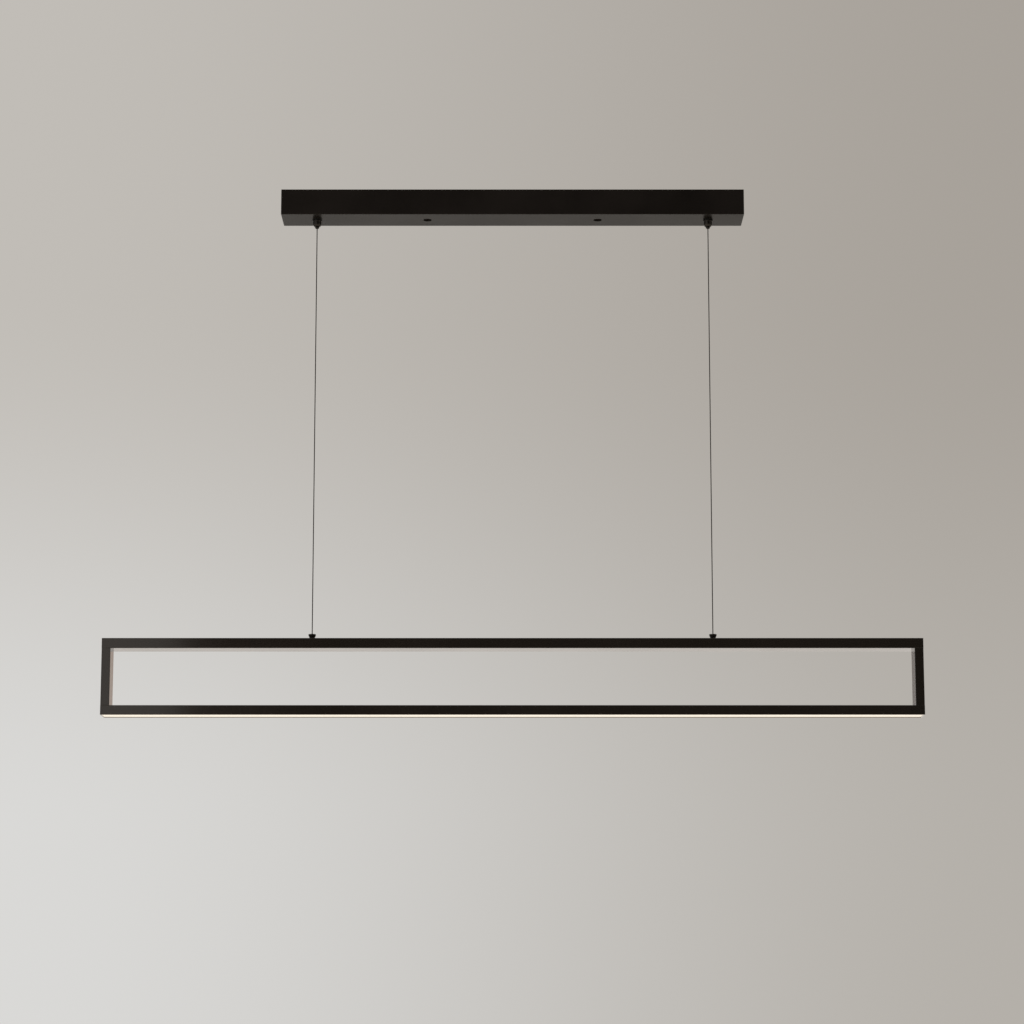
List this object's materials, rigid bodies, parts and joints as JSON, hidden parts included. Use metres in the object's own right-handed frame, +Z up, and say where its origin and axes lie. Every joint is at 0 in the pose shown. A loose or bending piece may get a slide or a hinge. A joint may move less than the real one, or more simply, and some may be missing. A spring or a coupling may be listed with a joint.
{
  "type": "linear pendant lamp",
  "caption": "Slim black linear pendant lamp: an open rectangular frame with a lit underside hangs on two thin wires from a rectangular ceiling canopy.",
  "frame": {"origin": "centre of the canopy's ceiling face, where the lamp meets the ceiling", "axes": "+Z up into the ceiling, +X along the lamp, +Y from front to back across it"},
  "size_m": [1.2, 0.058, 0.7915],
  "materials": {
    "canopy_black": "satin powder coat",
    "zinc_steel": "bright zinc",
    "black_screw": "black oxide",
    "black_rubber": "matt",
    "terminal_plastic": "matt moulded",
    "bare_brass": "bare",
    "earth_insulation": "green and yellow sleeving",
    "live_insulation": "brown sleeving",
    "neutral_insulation": "blue sleeving",
    "driver_plastic": "fine moulded texture",
    "board_green": "solder mask",
    "board_parts": "mixed components",
    "dark_insulation": "black silicone sleeving",
    "red_insulation": "red silicone sleeving",
    "nylon": "natural nylon",
    "black_nylon": "black nylon",
    "gripper_black": "black nickel plate on turned brass",
    "spring_steel": "bright spring steel",
    "wire_steel": "stranded wire rope",
    "frame_black": "satin powder coat",
    "white_insulation": "white silicone sleeving",
    "thermal_white": "thermal tape",
    "board_white": "white solder mask",
    "led_phosphor": "warm-white LED phosphor",
    "opal": "opal diffuser, lit warm white"
  },
  "bodies": {
    "canopy": {"canopy_shell": "canopy_black", "ceiling_bracket": "zinc_steel", "bracket_standoffs": "zinc_steel", "canopy_screws": "black_screw", "cable_grommet": "black_rubber", "terminal_block": "terminal_plastic", "terminal_sleeves": "bare_brass", "terminal_screws": "zinc_steel", "earth_stud": "bare_brass", "earth_nut": "bare_brass", "earth_lug": "bare_brass", "earth_lead": "earth_insulation", "mains_lead_live": "live_insulation", "mains_lead_neutral": "neutral_insulation", "driver_tray": "driver_plastic", "driver_cover": "driver_plastic", "driver_board": "board_green", "driver_components": "board_parts", "driver_screws": "zinc_steel", "driver_rivets": "zinc_steel", "output_lead_left": "dark_insulation", "output_lead_right": "red_insulation", "output_lugs": "zinc_steel", "insulating_washers": "nylon", "gripper_bushes": "black_nylon", "gripper_nuts": "zinc_steel", "gripper_body_left": "gripper_black", "gripper_body_right": "gripper_black", "gripper_caps": "zinc_steel", "gripper_spring_left": "spring_steel", "gripper_spring_right": "spring_steel", "wire_tail_left": "wire_steel", "wire_tail_right": "wire_steel"},
    "plunger_left": {"gripper_plunger_left": "gripper_black", "gripper_balls_left": "spring_steel"},
    "plunger_right": {"gripper_plunger_right": "gripper_black", "gripper_balls_right": "spring_steel"},
    "wires": {"suspension_wire_left": "wire_steel", "suspension_wire_right": "wire_steel"},
    "wire_ends": {"wire_ends": "spring_steel"},
    "lamp": {"anchor_collars": "gripper_black", "anchor_bushes": "nylon", "anchor_nuts": "zinc_steel", "contact_lugs": "zinc_steel", "top_rail": "frame_black", "bottom_rail": "frame_black", "left_post": "frame_black", "right_post": "frame_black", "top_rail_caps": "frame_black", "bottom_rail_caps": "frame_black", "frame_screws": "zinc_steel", "screw_plugs": "black_nylon", "lead_left": "white_insulation", "lead_right": "red_insulation", "thermal_tape": "thermal_white", "led_boards": "board_white", "led_chips": "led_phosphor", "board_link": "zinc_steel", "board_screws": "zinc_steel", "diffuser": "opal"}
  },
  "joints": [
    {"name": "swing", "type": "hinge", "parent": "canopy", "child": "wires", "pos_m": [0, 0, -0.052], "axis": [1, 0, 0], "range_deg": [-20, 20]},
    {"name": "height", "type": "slide", "parent": "wires", "child": "wire_ends", "axis": [0, 0, 1], "range_m": [0, 0.35], "deforming": ["suspension_wire_left", "suspension_wire_right"]},
    {"name": "rock", "type": "hinge", "parent": "wire_ends", "child": "lamp", "pos_m": [0, 0, -0.6753], "axis": [1, 0, 0], "range_deg": [-12, 12]},
    {"name": "release_left", "type": "slide", "parent": "canopy", "child": "plunger_left", "axis": [0, 0, 1], "range_m": [0, 0.0025], "stiffness_N_per_m": 600, "springref_m": -0.004, "deforming": ["gripper_spring_left"]},
    {"name": "release_right", "type": "slide", "parent": "canopy", "child": "plunger_right", "axis": [0, 0, 1], "range_m": [0, 0.0025], "stiffness_N_per_m": 600, "springref_m": -0.004, "deforming": ["gripper_spring_right"]}
  ]
}
